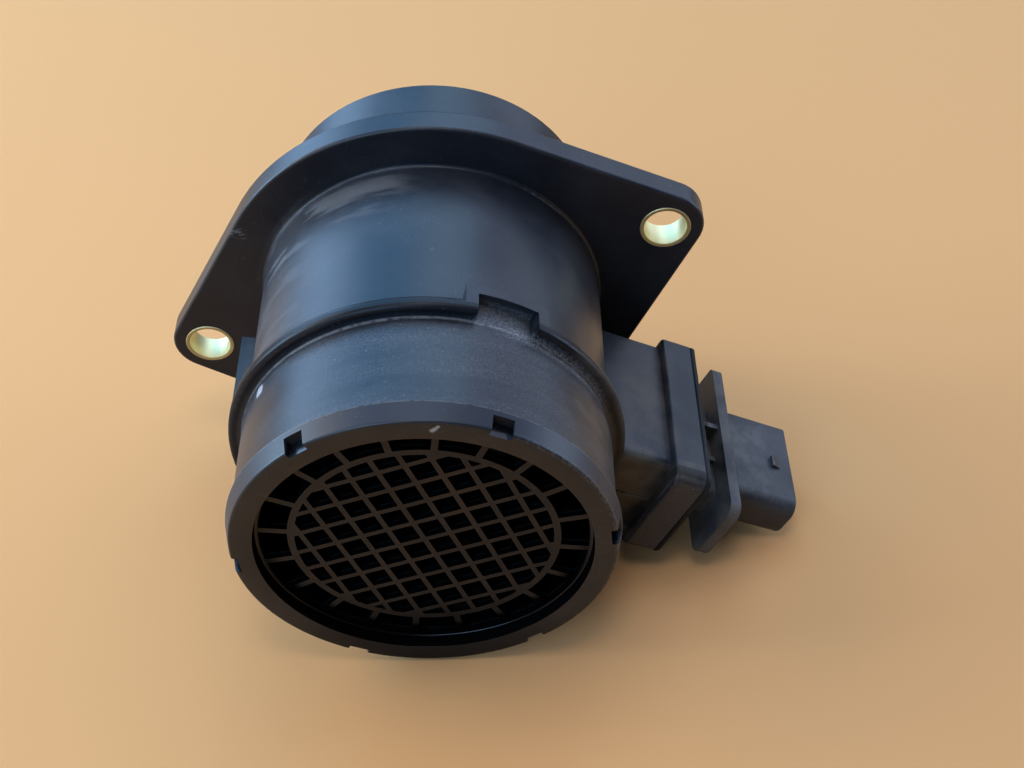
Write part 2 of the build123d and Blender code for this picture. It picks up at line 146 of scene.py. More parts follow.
class Paint:
    """A material under construction."""

    def __init__(self, name):
        self.material = bpy.data.materials.new(name)
        self.material.use_nodes = True
        self.tree = self.material.node_tree
        self.tree.nodes.clear()

    def node(self, kind, settings=None, inputs=None, output=0):
        made = self.tree.nodes.new(kind)
        for key, value in (settings or {}).items():
            setattr(made, key, value)
        for key, value in (inputs or {}).items():
            socket = made.inputs[key]
            if isinstance(value, Field):
                self.tree.links.new(value.socket, socket)
            elif socket.type == "RGBA":
                socket.default_value = (*value, 1)
            else:
                socket.default_value = value
        return Field(self, made.outputs[output]) if made.outputs else None

    def place(self):
        """Where the point is on the object, in metres, as three numbers and a vector."""
        if not hasattr(self, "_place"):
            vector = self.node("ShaderNodeTexCoord", output="Object")
            split = self.node("ShaderNodeSeparateXYZ", inputs={"Vector": vector}).socket.node
            self._place = [Field(self, split.outputs[i]) for i in range(3)] + [vector]
        return self._place

    def facing(self):
        """The surface's direction, as three numbers from -1 to 1."""
        if not hasattr(self, "_facing"):
            normal = self.node("ShaderNodeNewGeometry", output="Normal")
            split = self.node("ShaderNodeSeparateXYZ", inputs={"Vector": normal}).socket.node
            self._facing = [Field(self, split.outputs[i]) for i in range(3)]
        return self._facing

    def tube(self):
        """Angle round the tube's axis in radians, distance from it, and both unrolled to a vector."""
        if not hasattr(self, "_tube"):
            x, y, z, _ = self.place()
            angle, radius = z.angle(x), (x * x + z * z).sqrt()
            flat = self.node("ShaderNodeCombineXYZ", inputs={0: angle * TUBE_R, 1: y, 2: radius})
            self._tube = (angle, radius, flat)
        return self._tube

    def plug(self):
        """Metres along the connector's direction, across it, and along the tube to the grille."""
        if not hasattr(self, "_plug"):
            x, y, z, _ = self.place()
            along, across = x * cos(ROLL) + z * sin(ROLL), z * cos(ROLL) - x * sin(ROLL)
            self._plug = (along, across, y * -1.0)
        return self._plug

    def near(self, point, reach):
        """1 at a point given in millimetres, falling to 0 at the reach."""
        away = self.node("ShaderNodeVectorMath", {"operation": "DISTANCE"},
                         {0: self.place()[3], 1: tuple(v * MM for v in point)}, output=1)
        return away.rise(reach * MM, reach * MM * 0.3)

    def noise(self, per_metre, detail=2.0, rough=0.5, stretch=(1, 1, 1), turn=(0, 0, 0), warp=0.0,
              at=None):
        """Noise from 0 to 1, over the object or over the vector given as at."""
        vector = at or self.place()[3]
        if stretch != (1, 1, 1) or turn != (0, 0, 0):
            vector = self.node("ShaderNodeMapping", inputs={
                "Vector": vector, "Scale": stretch, "Rotation": turn})
        return self.node("ShaderNodeTexNoise", {"noise_dimensions": "3D"}, {
            "Vector": vector, "Scale": per_metre, "Detail": detail, "Roughness": rough,
            "Distortion": warp})

    def mix(self, factor, colour, other):
        """The first colour where the factor is 0, the other where it is 1."""
        return self.node("ShaderNodeMix", {"data_type": "RGBA"}, {0: factor, 6: colour, 7: other},
                         output=2)

    def bump(self, height, distance, strength):
        return self.node("ShaderNodeBump", inputs={
            "Height": height, "Distance": distance, "Strength": strength})

    def finish(self, painted_shade=None, **sockets):
        """The material from its sockets; the last argument, from 0 to 1, is painted shade: it fades the
        material to a black without shine.
        """
        shader = self.node("ShaderNodeBsdfPrincipled", inputs={
            key.replace("_", " "): value for key, value in sockets.items()})
        # painted shade: the surface is mixed towards the black
        if painted_shade is not None:
            black = self.node("ShaderNodeBsdfPrincipled", inputs=SHADE_BLACK)
            shader = self.node("ShaderNodeMixShader", inputs={0: painted_shade, 1: shader, 2: black})
        self.node("ShaderNodeOutputMaterial", inputs={"Surface": shader})
        print("material", self.material.name, "with", len(self.tree.nodes), "nodes")
        return self.material


def coat(piece, material):
    """The piece wears this one material."""
    piece.data.materials.clear()
    piece.data.materials.append(material)
    return piece


print("Paint makes a material; black is", SHADE_BLACK["Base Color"])

# %% [markdown]
# ## Black moulded plastic, with dust
# The tube, the cap and the module are glass-filled plastic. It is nearly black, satin rather than
# glossy, and its skin has a faint grain from the mould. A used part carries a thin grey film, thicker
# where it faces up, with specks that caught on it and fine scratches. Dust is painted here as a
# lighter, rougher skin over the plastic, so one function serves three pieces with different amounts.
# Faces that point down are darkened as painted shade, and each piece adds painted shade of its own.

# %% Plastic
# the grey of dust, also the colour of the painted highlight line at the stop ring's foot
DUST_AND_HIGHLIGHT, EARTH = (0.30, 0.31, 0.33), (0.17, 0.15, 0.115)
PLASTIC_IOR = 1.42
GRAIN = 0.00002                  # height of the mould's grain, metres
SHADE = 0.2                      # how far the noise takes the colour up and down


def plastic(name, colour, rough, film, specks, scratches, marks):
    """Satin plastic. film, specks and scratches are amounts from 0 to 1. marks is a function that
    gives the piece's own grey film, with a painted highlight on the housing, its brown dirt, and its
    painted shade, which fades the surface to black. Faces that point down get painted shade too."""
    p = Paint(name)
    up = p.facing()[2]
    # painted shade: faces that point down are darkened
    under = up.rise(-0.15, -0.8)
    cloud = p.noise(60, 4, 0.6, warp=0.1)
    fine = p.noise(900, 2, 0.6)
    lying = up.rise(-0.5, 0.9) * 0.75 + 0.25
    haze = cloud.rise(0.30, 0.75) * (fine * 0.5 + 0.75) * lying * film
    grit = p.noise(2600, 1, 0.5).rise(0.70, 0.78) * cloud.rise(0.35, 0.6) * lying * specks
    lines = (p.noise(260, 1, 0.4, stretch=(14, 1, 1), turn=(0.2, 0.5, 0.9)).rise(0.735, 0.76)
             + p.noise(240, 1, 0.4, stretch=(1, 1, 16), turn=(0.7, 0.3, 0.2)).rise(0.735, 0.76))
    scrapes = lines.clamped() * p.noise(45, 1).rise(0.5, 0.62) * scratches
    # the third value is the piece's painted shade
    own, dirt, painted_shade = marks(p)
    # dust, and on the housing a painted highlight line too
    dust_and_highlight = (haze + grit * 0.6 + scrapes * 0.5 + own).clamped()
    shade = p.mix(cloud, tuple(c * (1 - SHADE) for c in colour), tuple(c * (1 + SHADE) for c in colour))
    grain = p.noise(3200, 2, 0.7)
    return p.finish(
        Base_Color=p.mix(dirt, p.mix(dust_and_highlight, shade, DUST_AND_HIGHLIGHT), EARTH),
        Roughness=(rough - 0.05 + cloud * 0.10 + (dust_and_highlight + dirt) * 0.45).clamped(),
        Normal=p.bump(grain + dust_and_highlight * 0.5, GRAIN, 0.35),
        IOR=PLASTIC_IOR, painted_shade=(painted_shade + under * 0.4).clamped())


print("dust_and_highlight", DUST_AND_HIGHLIGHT, "and earth", EARTH)

# %% [markdown]
# ## The housing's own marks
# Wear is never even. Hands wiped the barrel beside the flange, a hose clip dusted the foot of the stop
# ring, grit stayed in the keyed notch, and something knocked the flange and the spigot once each. Each
# mark is a soft mask at its own place, measured on the part, times a noise that breaks it up. Shade is
# painted in the same way inside the bore, on the stop ring's crest and on the flange's front face, and
# a thin light line along the ring's foot is a painted highlight.

# %% Marks and finish of the housing
BARREL_ONLY = (0.0375, 0.0365)   # radius: 0 on the flange and ring, 1 on the barrel
FLANGE_SKIN = (0.0040, 0.0065)   # metres ahead of the seat: the flange's front face
RING_SKIN = (0.0448, 0.0486)     # the stop ring's width
RING_CREST = (0.0463, 0.0480)    # its highest part
RING_FOOT = (0.0478, 0.0492)     # the corner in front of it
CAP_END = (0.0495, 0.0690)       # the spigot and the cap's skirt
FLANGE_KNOCK, SPIGOT_KNOCK = (-38.5, -5.6, 18.7), (-29.4, -50.4, 19.9)   # millimetres


def housing_dust_and_highlight(p):
    """Grey: the film on the spigot, wiped streaks, specks, the gritty notch and two knocks, with a
    painted highlight: a thin light line along the foot of the stop ring.
    """
    angle, radius, flat = p.tube()
    along, across, front = p.plug()
    barrel = radius.rise(*BARREL_ONLY)
    wipes = p.noise(110, 3, 0.6, stretch=(0.3, 1.8, 0.3)).rise(0.25, 0.75)
    film = front.between(*CAP_END, 0.0010) * wipes * p.noise(2600, 2, 0.7).rise(0.30, 0.72)
    smear = p.noise(160, 3, 0.6, stretch=(0.35, 1.6, 1), at=flat).rise(0.46, 0.66)
    left = angle.between(2.35, 2.80, 0.33) * front.between(0.0065, 0.046, 0.002) * barrel
    wiped = angle.between(1.75, 2.60, 0.20) * front.between(0.0075, 0.015, 0.005) * barrel
    rubbed = (front.between(*RING_FOOT, 0.0012) * barrel * angle.between(0.45, 1.0, 0.2)
              * p.noise(2600, 2, 0.8).rise(0.35, 0.70))
    sprinkle = (front.between(0.049, 0.056, 0.006) * angle.between(1.4, 2.5, 0.3)
                * p.noise(2100, 1, 0.5).rise(0.70, 0.78))
    gritty = (across.rise(0.0350, 0.0353) * across.rise(0.0372, 0.0362)
              * along.between(-0.0055, 0.0055, 0.0003)
              * front.between(0.0435, 0.0483, 0.0008) * p.noise(2400, 2, 0.8).rise(0.30, 0.70))
    # painted highlight: a thin light line at the stop ring's foot, for the reflection of its lit edge in
    # the spigot
    foot_highlight = (front.between(0.0481, 0.0484, 0.0002) * angle.between(1.0, 2.8, 0.3)
                 * p.noise(900, 2, 0.6).rise(0.25, 0.60))
    flange_knock = p.near(FLANGE_KNOCK, 2.4) * p.noise(500, 2, 0.6, stretch=(1, 1, 4)).rise(0.5, 0.6)
    spigot_knock = p.near(SPIGOT_KNOCK, 1.7) * p.noise(420, 1, 0.5, stretch=(1, 0.4, 1)).rise(0.40, 0.52)
    return (film * 0.16 + left * (smear * 0.6 + 0.4) * 0.13 + wiped * smear * 0.17 + rubbed * 0.45
            + sprinkle * 0.3 + gritty * 0.3 + foot_highlight * 0.30
            + (flange_knock * 0.5 + spigot_knock * 1.6) * 0.9)


def housing_dirt(p):
    """Brown: the stop ring's right side, the spigot's right side and the socket block."""
    angle, radius, flat = p.tube()
    along, _, front = p.plug()
    ring = (angle.between(-0.4, 0.50, 0.25) * front.between(*RING_SKIN, 0.0006)
            * radius.rise(0.0366, 0.0376) * p.noise(240, 3, 0.6, at=flat).rise(0.25, 0.70))
    side = (angle.between(-0.1, 0.62, 0.25) * front.between(0.050, 0.068, 0.008)
            * p.noise(220, 3, 0.6, at=flat).rise(0.38, 0.66))
    block = (along.between(0.0400, 0.0470, 0.004) * front.between(0.018, 0.043, 0.006)
             * p.noise(130, 3, 0.6).rise(0.30, 0.70))
    return ring * 0.32 + side * 0.16 + block * 0.34


def housing_painted_shade(p):
    """Painted shade, which fades the surface to black: inside the bore, and less on the ring's crest and
    the flange's front face.
    """
    _, radius, _ = p.tube()
    front = p.plug()[2]
    # painted shade inside the bore, on the ring's crest and on the flange's front face
    bore = radius.rise(0.0336, 0.0330) * front.rise(-0.012, 0.014)
    crest = front.between(*RING_CREST, 0.0004) * radius.rise(0.0360, 0.0368)
    flange = (p.facing()[1] * -1.0).rise(0.7, 0.95) * front.between(*FLANGE_SKIN, 0.0010)
    return bore + crest * 0.45 + flange * 0.25


def housing_marks(p):
    return housing_dust_and_highlight(p).clamped(), housing_dirt(p).clamped(), housing_painted_shade(p)


housing_plastic = plastic("housing_plastic", (0.008, 0.011, 0.017), 0.36, 0.06, 0.5, 0.2,
                          housing_marks)
coat(cad["housing"], housing_plastic)

# %% [markdown]
# ## The plug-in module
# The module is the same family of plastic from another mould, a little duller. Its collar and the
# ledge behind it trap more dust, brown rather than grey, because nobody wipes there. The narrow neck
# between them, and the probe that reaches into the air path, lie in the dark, which is painted on them
# as shade.

# %% Marks and finish of the module
def module_marks(p):
    along, across, _ = p.plug()
    ledge = along.between(0.0560, 0.0645, 0.0008) * p.noise(150, 3, 0.6).rise(0.36, 0.66)
    shroud = (along.between(0.066, 0.074, 0.004) * across.rise(0.004, 0.0055)
              * p.noise(190, 3, 0.6).rise(0.42, 0.66))
    # painted shade on the narrow neck, and on the probe inside the bore
    neck = along.between(0.0545, 0.0600, 0.0005)
    inside = p.tube()[1].rise(0.0300, 0.0296) * (1.0 - p.facing()[1].rise(0.3, 0.7))
    painted_shade = inside + neck * 0.55
    return shroud * 0.10, (ledge * 0.30 + shroud * 0.12).clamped(), painted_shade


module_plastic = plastic("module_plastic", (0.009, 0.011, 0.015), 0.40, 0.14, 0.8, 0.3,
                         module_marks)
coat(cad["module_body"], module_plastic)

# %% [markdown]
# ## A lathe
# The cap and the sleeves are turned parts. A Screw or Spin modifier could make them too, but a list
# of points (radius, height), taken round the axis in equal steps, gives a closed ring at once.

# %% Lathe
def lathe(name, profile, steps):
    """Closed ring turned round the upright axis from points (radius, height)."""
    count = len(profile)
    points = [(r * cos(2 * pi * i / steps), r * sin(2 * pi * i / steps), h)
              for i in range(steps) for r, h in profile]
    faces = [(i * count + j, (i + 1) % steps * count + j,
              (i + 1) % steps * count + (j + 1) % count, i * count + (j + 1) % count)
             for i in range(steps) for j in range(count)]
    mesh = bpy.data.meshes.new(name)
    mesh.from_pydata(points, [], faces)
    return mesh


def rounded(centre, radius, start, stop, steps=6):
    """Points of a profile's round about its centre, by angles in degrees from straight up."""
    angles = [radians(start + (stop - start) * k / (steps - 1)) for k in range(steps)]
    return [(centre[0] + radius * sin(a), centre[1] + radius * cos(a)) for a in angles]


def soften(piece, sharp_deg=35):
    """Smooth shading, with the sharp edges kept by angle."""
    piece.data.shade_smooth()
    piece.data.set_sharp_from_angle(angle=radians(sharp_deg))
    return piece


print("a round of 1 mm, in points:", len(rounded((0, 0), 1.0, 0, 90)))

# %% [markdown]
# ## A Geometry Nodes tree, written as steps
# Geometry Nodes grow a mesh from named sizes. This class keeps the tree as short as the steps one
# would take in a workshop: a box, a drum, a ring of copies, a cut. The tree works in millimetres with
# the axis upright, and its last steps turn the result into metres along the tube.

# %% The Tree class
DRUM_STEPS = 180                 # sides of a drum
DOUBLE = MM * 0.001              # corners closer than this are one corner


class Tree:
    """A Geometry Nodes tree under construction, with named number inputs."""

    def __init__(self, name, sizes):
        self.group = bpy.data.node_groups.new(name, "GeometryNodeTree")
        self.group.interface.new_socket("Geometry", in_out="INPUT", socket_type="NodeSocketGeometry")
        for key, value in sizes.items():
            kind = "NodeSocketInt" if isinstance(value, int) else "NodeSocketFloat"
            self.group.interface.new_socket(key, in_out="INPUT", socket_type=kind)
        self.group.interface.new_socket("Geometry", in_out="OUTPUT", socket_type="NodeSocketGeometry")
        self.given = self.group.nodes.new("NodeGroupInput")

    def node(self, kind, settings=None, inputs=None, output=0):
        made = self.group.nodes.new(kind)
        for key, value in (settings or {}).items():
            setattr(made, key, value)
        for key, value in (inputs or {}).items():
            for one in value if isinstance(value, list) else [value]:
                if isinstance(one, bpy.types.NodeSocket):
                    self.group.links.new(one, made.inputs[key])
                else:
                    made.inputs[key].default_value = one
        return made.outputs[output]

    def size(self, key):
        return self.given.outputs[key]

    def _math(self, operation, *values):
        return self.node("ShaderNodeMath", {"operation": operation}, dict(enumerate(values)))

    def plus(self, one, other):
        return self._math("ADD", one, other)

    def minus(self, one, other):
        return self._math("SUBTRACT", one, other)

    def times(self, one, other):
        return self._math("MULTIPLY", one, other)

    def vector(self, x=0.0, y=0.0, z=0.0):
        return self.node("ShaderNodeCombineXYZ", inputs={"X": x, "Y": y, "Z": z})

    def box(self, x, y, z, move=None):
        cube = self.node("GeometryNodeMeshCube", inputs={"Size": self.vector(x, y, z)})
        return self.moved(cube, move) if move else cube

    def drum(self, radius, depth):
        return self.node("GeometryNodeMeshCylinder", inputs={
            "Vertices": DRUM_STEPS, "Radius": radius, "Depth": depth})

    def moved(self, mesh, place, turn=(0.0, 0.0, 0.0), scale=(1.0, 1.0, 1.0)):
        return self.node("GeometryNodeTransform", inputs={
            "Geometry": mesh, "Translation": place, "Rotation": turn, "Scale": scale})

    def ring_of(self, mesh, count, first):
        """The mesh, repeated round the axis from the first angle on."""
        points = self.node("GeometryNodePoints", inputs={"Count": count})
        step = self._math("DIVIDE", 2 * pi, count)
        index = self.node("GeometryNodeInputIndex")
        turn = self.vector(z=self.plus(self.times(index, step), first))
        copies = self.node("GeometryNodeInstanceOnPoints", inputs={
            "Points": points, "Instance": mesh, "Rotation": turn})
        return self.node("GeometryNodeRealizeInstances", inputs={"Geometry": copies})

    def cut(self, operation, *meshes):
        settings = {"operation": operation, "solver": "EXACT"}
        if operation == "DIFFERENCE":
            return self.node("GeometryNodeMeshBoolean", settings,
                             {"Mesh 1": meshes[0], "Mesh 2": list(meshes[1:])})
        return self.node("GeometryNodeMeshBoolean", settings, {"Mesh 2": list(meshes)})

    def finish(self, mesh, material, turn):
        whole = self.node("GeometryNodeRealizeInstances", inputs={"Geometry": mesh})
        whole = self.moved(whole, (0.0, 0.0, 0.0), turn, (MM, MM, MM))
        whole = self.node("GeometryNodeSetMaterial", inputs={"Geometry": whole, "Material": material})
        out = self.group.nodes.new("NodeGroupOutput")
        self.group.links.new(whole, out.inputs[0])
        print("tree", self.group.name, "with", len(self.group.nodes), "nodes")
        return self.group


def grow(name, base, group, sizes):
    """A plain mesh object from a base mesh and a tree, with its sizes set by socket identifier."""
    seed = bpy.data.objects.new(name + "_seed", base)
    bpy.context.scene.collection.objects.link(seed)
    modifier = seed.modifiers.new("grow", "NODES")
    modifier.node_group = group
    for socket in group.interface.items_tree:
        if socket.in_out == "INPUT" and socket.name in sizes:
            modifier[socket.identifier] = sizes[socket.name]
    seen = seed.evaluated_get(bpy.context.evaluated_depsgraph_get())
    mesh = bpy.data.meshes.new_from_object(seen)
    seed.modifiers.remove(modifier)
    bpy.data.objects.remove(seed)
    # the cuts leave some corners twice
    shell = bmesh.new()
    shell.from_mesh(mesh)
    bmesh.ops.remove_doubles(shell, verts=shell.verts, dist=DOUBLE)
    shell.to_mesh(mesh)
    shell.free()
    mesh.name = name
    made = bpy.data.objects.new(name, mesh)
    bpy.context.scene.collection.objects.link(made)
    return made


print("Tree cuts, moves and repeats; grow makes a plain mesh of it")

# %% [markdown]
# ## End grille, by Geometry Nodes
# The cap snaps over the tube's end and carries a square lattice inside a ring, held by spokes. Every
# part of it repeats, so a rule makes it: a grid of square cells, cut by a circle, is taken out of a
# disc; a ring of windows between the spokes is taken out too; the turned cap is added, and the snap
# notches are cut. Modelling each bar by hand or an array with a boolean would also work, but the tree
# keeps the sizes as named inputs.

# %% Sizes of the cap, in millimetres
TO_TUBE = (pi / 2, -ROLL, 0.0)   # upright axis to the tube's axis, connector to its own direction
END = 72.7                       # the front edge, ahead of the flange's seat
CAP = {"Bore": 31.0, "Land": 30.3, "Front": END, "Recess": 2.85, "Depth": 2.4, "Ring inside": 23.75,
       "Ring outside": 25.05, "Pitch": 5.09, "Bar": 1.03, "Lattice turn": radians(45.3), "Cells": 10,
       "Cell reach": 25.7, "Spokes": 20, "Spoke width": 1.25, "Notches": 6,
       "First notch": radians(30), "Notch width": 4.0, "Notch length": 3.0, "Notch floor": 34.15}
SKIRT_LEN, BARB_R, CAP_R, CAP_ROUND, SKIRT_R = 4.2, 36.3, 35.5, 0.6, 33.65
SLEEVE_LEN, SLEEVE_R, LIP_T = 9.0, 32.2, 1.6
EDGE, LIP_EDGE, LIP_MID = 0.15, 0.25, 0.07       # small bevels of the barb and of the mouth
SHELF_ROUND, OVERLAP = 0.5, 0.05
BEVEL_END_DEG, SHELF_START_DEG = 84, 112.5       # where the rounds stop and start, from straight up
CAP_STEPS = 192
print("cap:", CAP_R * 2, "mm across,", CAP["Spokes"], "spokes,", CAP["Notches"], "notches")

# %% [markdown]
# ## The grille's plastic
# The face of the grille catches dust and a little rust from the air. Light hardly reaches the walls of
# its cells, so shade is painted on them as black, and on the low corner behind the mouth, on the lower
# part of the face and a little over the recessed web. A thin light line at the skirt's rear edge is a
# painted highlight. Outside, the cap looks like the tube. Four masks tell these apart: which way the
# surface faces, how far it is from the axis, how far forward, and how high.

# %% The grille's material
IN_BORE = (0.0318, 0.0312)       # radius: 1 inside the mouth
RUBBED_AT = ((3.4, -72.7, 33.1, 0.65), (3.9, -72.7, 33.5, 0.60), (4.4, -72.7, 34.0, 0.50))


def grille_surface():
    """Dusty and dull in front, with painted shade on the walls inside, the low corner and the lower
    face, a painted highlight at the skirt's rear edge, and dark blue-grey round the outside.
    """
    p = Paint("grille_plastic")
    angle, radius, _ = p.tube()
    forward, height = p.facing()[1] * -1.0, p.place()[2]
    face, front, inside = forward.rise(0.55, 0.95), p.plug()[2], radius.rise(*IN_BORE)
    notch = radius.between(0.0338, 0.0353, 0.0002) * front.rise(0.0675, 0.0680)
    wall = (inside + notch) * (1.0 - face)
    # painted shade on the walls of the cells and of the mouth
    deep_shade = forward.between(-0.5, 0.5, 0.1) * inside
    # painted shade on the spoke ends near the wall, in the lower half
    corner_shade = front.rise(0.0708, 0.0704) * radius.rise(0.0262, 0.0300) * height.rise(0.002, -0.016)
    # painted shade: the lower part of the face, and a little over the whole web inside the land
    low = height.rise(-0.014, -0.036) * 0.5 + radius.rise(0.0306, 0.0302) * 0.2
    mottle = p.noise(90, 4, 0.65, warp=0.8)
    rust = p.noise(55, 2, 0.5, warp=0.5).rise(0.60, 0.74)
    grit = p.noise(2300, 1, 0.5).rise(0.69, 0.78) * mottle.rise(0.4, 0.6)
    worn = (angle.between(-0.2, 0.9, 0.3) * front.rise(0.0716, 0.0723)
            * radius.rise(0.0346, 0.0351) * p.noise(1600, 2, 0.7).rise(0.42, 0.62))
    tick = 0.0
    for *spot, reach in RUBBED_AT:
        tick = p.near(spot, reach) + tick
    # painted shade: surfaces that don't face forward get a darker, bluer tone than the face
    skin = p.mix(face, (0.0035, 0.0042, 0.0060), (0.012, 0.0108, 0.0110))
    skin = p.mix(face * mottle.rise(0.35, 0.75) * 0.55, skin, (0.026, 0.022, 0.018))
    skin = p.mix(face * rust * 0.35, skin, (0.060, 0.026, 0.018))
    outside = p.mix(mottle, (0.015, 0.020, 0.030), (0.022, 0.029, 0.041))
    skin = p.mix(radius.rise(0.0350, 0.0353) * (1.0 - face), skin, outside)
    # painted highlight: a thin light line along the skirt's rear edge
    rear = front.between(0.0685, 0.0688, 0.0001) * p.noise(900, 2, 0.6).rise(0.30, 0.55)
    dust_and_highlight = (grit * 0.18 + rear * 0.22 + worn * 0.14 + tick * 0.9).clamped()
    return p.finish(
        Base_Color=p.mix(dust_and_highlight, skin, (0.30, 0.30, 0.29)),
        Roughness=(0.42 + face * 0.10 - wall * 0.24 + dust_and_highlight * 0.3).clamped(),
        Normal=p.bump(p.noise(3000, 2, 0.7) + dust_and_highlight * 0.5, GRAIN, 0.3),
        IOR=PLASTIC_IOR, painted_shade=(face * (corner_shade + low) + deep_shade * 0.9).clamped())


grille_plastic = grille_surface()

# %% The grille's tree
THROUGH = {"ring": 3.0, "cell": 4.0, "core": 5.0, "spoke": 6.0}   # how much taller the cutters are
SPOKE_OVER, WEB_OVER = 2.0, 0.4  # how far the spokes and the web run into their neighbours
NOTCH_CUTTER, NOTCH_OVER = 6.0, 1.0              # the notch cutter's size, and how far it sticks out


def grille_tree(material):
    t = Tree("cap with lattice", CAP)
    depth, front = t.size("Depth"), t.size("Front")
    top = t.minus(front, t.size("Recess"))
    middle = t.minus(top, t.times(depth, 0.5))
    tall = {use: t.plus(depth, extra) for use, extra in THROUGH.items()}
    # square cells, cut by the inner circle
    span = t.times(t.size("Pitch"), t.minus(t.size("Cells"), 1))
    grid = t.node("GeometryNodeMeshGrid", inputs={
        "Size X": span, "Size Y": span, "Vertices X": t.size("Cells"), "Vertices Y": t.size("Cells")})
    place = t.node("GeometryNodeInputPosition")
    away = t.node("ShaderNodeVectorMath", {"operation": "LENGTH"}, {0: place}, output=1)
    far = t.node("FunctionNodeCompare", {"operation": "GREATER_THAN"},
                 {"A": away, "B": t.size("Cell reach")})
    grid = t.node("GeometryNodeDeleteGeometry", inputs={"Geometry": grid, "Selection": far})
    side = t.minus(t.size("Pitch"), t.size("Bar"))
    cells = t.node("GeometryNodeInstanceOnPoints", inputs={
        "Points": grid, "Instance": t.box(side, side, tall["cell"])})
    cells = t.node("GeometryNodeRealizeInstances", inputs={"Geometry": cells})
    cells = t.moved(cells, (0.0, 0.0, 0.0), t.vector(z=t.size("Lattice turn")))
    cells = t.cut("INTERSECT", cells, t.drum(t.size("Ring inside"), tall["ring"]))
    # windows between the spokes
    reach_out = t.minus(t.size("Land"), t.size("Ring outside"))
    centre = t.times(t.plus(t.size("Land"), t.size("Ring outside")), 0.5)
    spoke = t.box(t.plus(reach_out, SPOKE_OVER), t.size("Spoke width"), tall["spoke"],
                  t.vector(x=centre))
    windows = t.cut("DIFFERENCE", t.drum(t.size("Land"), tall["cell"]),
                    t.drum(t.size("Ring outside"), tall["core"]),
                    t.ring_of(spoke, t.size("Spokes"), 0.0))
    disc = t.drum(t.plus(t.size("Bore"), WEB_OVER), depth)
    web = t.cut("DIFFERENCE", disc, cells, windows)
    web = t.moved(web, t.vector(z=middle))
    # the turned cap, and the notches of its snap hooks
    cap = t.cut("UNION", t.given.outputs["Geometry"], web)
    tall_notch = t.plus(t.size("Notch length"), NOTCH_OVER)
    spot = t.vector(x=t.plus(t.size("Notch floor"), NOTCH_CUTTER / 2),
                    z=t.minus(t.plus(front, NOTCH_OVER), t.times(tall_notch, 0.5)))
    notch = t.box(NOTCH_CUTTER, t.size("Notch width"), tall_notch, spot)
    cap = t.cut("DIFFERENCE", cap, t.ring_of(notch, t.size("Notches"), t.size("First notch")))
    return t.finish(cap, material, TO_TUBE)


# %% The cap's profile, and the piece
def cap_profile():
    """From the skirt's rear edge up the outside, over the mouth, and down inside the tube."""
    low, shelf, bore = END - SKIRT_LEN, END - CAP["Recess"], CAP["Bore"]
    land, rear = CAP["Land"] + OVERLAP, END - CAP["Recess"] - CAP["Depth"]
    return ([(SKIRT_R, low), (BARB_R - EDGE, low), (BARB_R, low + EDGE)]
            + rounded((CAP_R - CAP_ROUND, END - CAP_ROUND), CAP_ROUND, BEVEL_END_DEG, 0)
            + [(bore + LIP_EDGE, END), (bore + LIP_MID, END - LIP_MID), (bore, END - LIP_EDGE),
               (bore, shelf + SHELF_ROUND)]
            + rounded((bore - SHELF_ROUND, shelf + SHELF_ROUND), SHELF_ROUND, SHELF_START_DEG, 180, 4)
            + [(land, shelf), (land, rear), (bore, rear), (bore, END - SLEEVE_LEN),
               (SLEEVE_R, END - SLEEVE_LEN), (SLEEVE_R, END - LIP_T), (SKIRT_R, END - LIP_T)])


turned_cap = lathe("cap_turned", cap_profile(), CAP_STEPS)
grille = grow("grille_cap", turned_cap, grille_tree(grille_plastic), CAP)
coat(soften(grille), grille_plastic)
print("grille:", len(grille.data.polygons), "faces")
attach(grille, "root")
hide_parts("end_grille")

# %% [markdown]
# ## Brass sleeves in the ears
# Each bolt hole is lined with a turned brass sleeve that stops the bolt from crushing the plastic. A
# lathe is the natural tool: one short profile with rounded edges, turned once for each ear.

# %% The sleeves' metal
TOOL_MARK = 0.00001              # height of fine marks on the small pieces, metres


def sleeve_surface():
    """Yellow passivated brass, satin inside, duller on the end that the bolt's washer rubs."""
    p = Paint("limiter_brass")
    cloud = p.noise(420, 3, 0.6)
    rings = p.noise(900, 1, 0.5, stretch=(1, 9, 1))
    front = (p.facing()[1] * -1.0).rise(0.5, 0.9)
    tone = p.mix(cloud, (0.84, 0.72, 0.36), (0.94, 0.86, 0.52))
    tone = p.mix(front * 0.8, tone, (0.36, 0.30, 0.14))
    return p.finish(Base_Color=tone, Metallic=0.9,
                    Roughness=(0.42 + cloud * 0.16 + front * 0.1).clamped(),
                    Normal=p.bump(rings, TOOL_MARK, 0.5))


brass = sleeve_surface()

# %% Sleeves
EARS = {"limiter_upper": (51.7, 45.6), "limiter_lower": (50.8, 219.2)}   # distance, degrees round
FLANGE_T = 5.6
SLEEVE_IN, SLEEVE_OUT, SLEEVE_HEAD = 4.3, 5.2, FLANGE_T + 0.15           # it stands proud
EDGE_IN, EDGE_MID, EDGE_OUT = 0.35, 0.1, 0.12
SLEEVE_STEPS = 72
SLEEVE_PROFILE = [
    (SLEEVE_IN, 0.0), (SLEEVE_OUT, 0.0), (SLEEVE_OUT, SLEEVE_HEAD - EDGE_OUT),
    (SLEEVE_OUT - EDGE_OUT, SLEEVE_HEAD), (SLEEVE_IN + EDGE_IN, SLEEVE_HEAD),
    (SLEEVE_IN + EDGE_MID, SLEEVE_HEAD - EDGE_MID), (SLEEVE_IN, SLEEVE_HEAD - EDGE_IN)]


